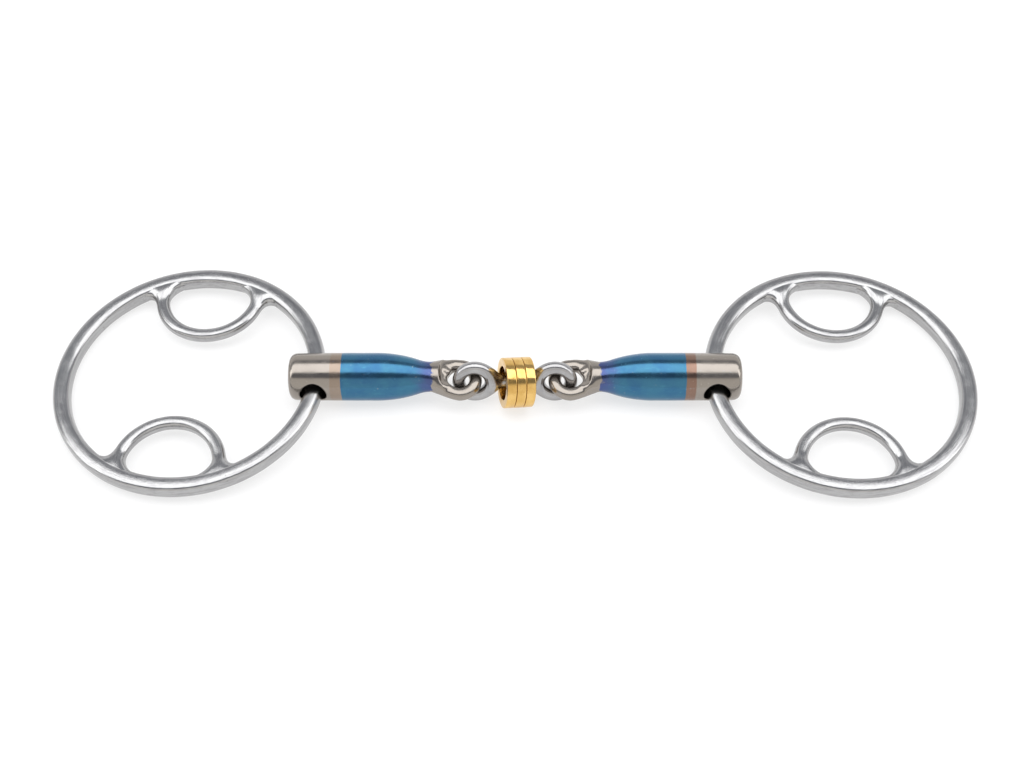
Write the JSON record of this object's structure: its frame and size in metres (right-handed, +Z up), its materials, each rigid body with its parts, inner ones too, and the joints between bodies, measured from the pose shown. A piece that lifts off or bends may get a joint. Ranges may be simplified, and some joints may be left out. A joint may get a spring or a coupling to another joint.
{
  "type": "snaffle bit",
  "caption": "Loose ring bevel snaffle bit: jointed blued mouthpiece with a link and brass rollers, and round cheek rings with welded D loops.",
  "frame": {"origin": "on the surface that the bit lies on, under the middle of the mouthpiece", "axes": "+X along the mouthpiece towards the right cheek ring, +Y away from the rings' lower loops towards the upper ones, +Z up"},
  "size_m": [0.3092, 0.0919, 0.0182],
  "materials": {
    "ring_steel": "polished",
    "loop_steel": "polished",
    "link_steel": "polished",
    "sweet_iron": "heat blued and polished, bare at both ends",
    "brass": "polished"
  },
  "bodies": {
    "link": {"centre_link": "link_steel"},
    "left_cannon": {"left_cannon": "sweet_iron"},
    "right_cannon": {"right_cannon": "sweet_iron"},
    "left_ring": {"left_cheek_ring": "ring_steel", "left_upper_loop": "loop_steel", "left_lower_loop": "loop_steel"},
    "right_ring": {"right_cheek_ring": "ring_steel", "right_upper_loop": "loop_steel", "right_lower_loop": "loop_steel"},
    "left_brass": {"left_brass_ring": "brass"},
    "middle_brass": {"middle_brass_ring": "brass"},
    "right_brass": {"right_brass_ring": "brass"}
  },
  "joints": [
    {"name": "left_cannon_fold", "type": "hinge", "parent": "link", "child": "left_cannon", "pos_m": [-0.0185, -0.0013, 0.008], "axis": [0, 0, -1], "range_deg": [-70, 70]},
    {"name": "right_cannon_fold", "type": "hinge", "parent": "link", "child": "right_cannon", "pos_m": [0.0185, -0.0013, 0.008], "axis": [0, 0, 1], "range_deg": [-70, 70]},
    {"name": "left_ring_slide_round", "type": "hinge", "parent": "left_cannon", "child": "left_ring", "pos_m": [-0.10893, 0.0016, 0.0049], "axis": [0.0467, 0, -0.9989], "range_deg": [-45, 42]},
    {"name": "right_ring_slide_round", "type": "hinge", "parent": "right_cannon", "child": "right_ring", "pos_m": [0.10893, 0.0011, 0.0049], "axis": [0.0467, 0, 0.9989], "range_deg": [-40, 46]},
    {"name": "left_brass_spin", "type": "hinge", "parent": "link", "child": "left_brass", "pos_m": [-0.00273, -0.00374, 0.00971], "axis": [0.9736, 0.1664, -0.1564], "continuous": true},
    {"name": "middle_brass_spin", "type": "hinge", "parent": "link", "child": "middle_brass", "pos_m": [0.0004, -0.0032, 0.0092], "axis": [0.9736, 0.1664, -0.1564], "continuous": true},
    {"name": "right_brass_spin", "type": "hinge", "parent": "link", "child": "right_brass", "pos_m": [0.00353, -0.00266, 0.0087], "axis": [0.9736, 0.1664, -0.1564], "continuous": true}
  ]
}
